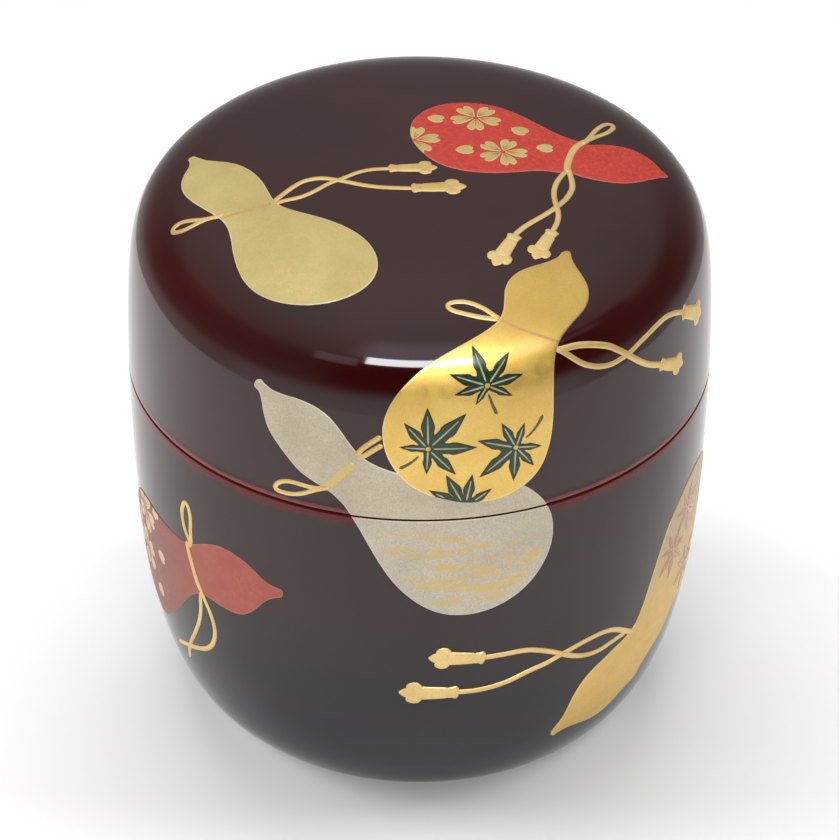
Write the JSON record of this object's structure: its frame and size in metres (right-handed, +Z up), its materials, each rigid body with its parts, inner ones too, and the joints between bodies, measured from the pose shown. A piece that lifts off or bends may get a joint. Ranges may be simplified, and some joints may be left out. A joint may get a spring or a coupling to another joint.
{
  "type": "tea caddy",
  "caption": "Round lacquered wooden tea caddy with a deep lid that slides over a standing rim, and raised gold, silver and red gourd decoration.",
  "frame": {"origin": "centre of the base, on the plane that the caddy stands on", "axes": "+Z up along the turning axis, -Y towards the front of the decoration, +X to the right seen from the front"},
  "size_m": [0.066, 0.0661, 0.0707],
  "materials": {
    "wood": "bare turned wood, sealed under the lacquer",
    "brown_lacquer": "translucent dark red-brown lacquer, polished to a mirror gloss",
    "black_lacquer": "black lacquer, polished",
    "silver_powder": "matt silver powder sprinkled on lacquer",
    "red_lacquer": "red lacquer with fine gold powder",
    "gold_powder": "burnished gold powder on raised lacquer",
    "pale_gold_powder": "matt pale gold powder on raised lacquer"
  },
  "bodies": {
    "caddy": {"body_core": "wood", "body_outer_lacquer": "brown_lacquer", "body_inner_lacquer": "black_lacquer", "base_lacquer": "black_lacquer", "gourd_silver_body": "silver_powder", "gourd_red_side": "red_lacquer", "gourd_gold_side": "gold_powder"},
    "lid": {"lid_core": "wood", "lid_outer_lacquer": "brown_lacquer", "lid_inner_lacquer": "black_lacquer", "gourd_pale_gold": "pale_gold_powder", "gourd_red_blossom": "red_lacquer", "gourd_gold_maple": "gold_powder", "gourd_silver_lid": "silver_powder"}
  },
  "joints": [
    {"name": "lid_lift", "type": "slide", "parent": "caddy", "child": "lid", "axis": [0, 0, 1], "range_m": [0, 0.06]}
  ]
}
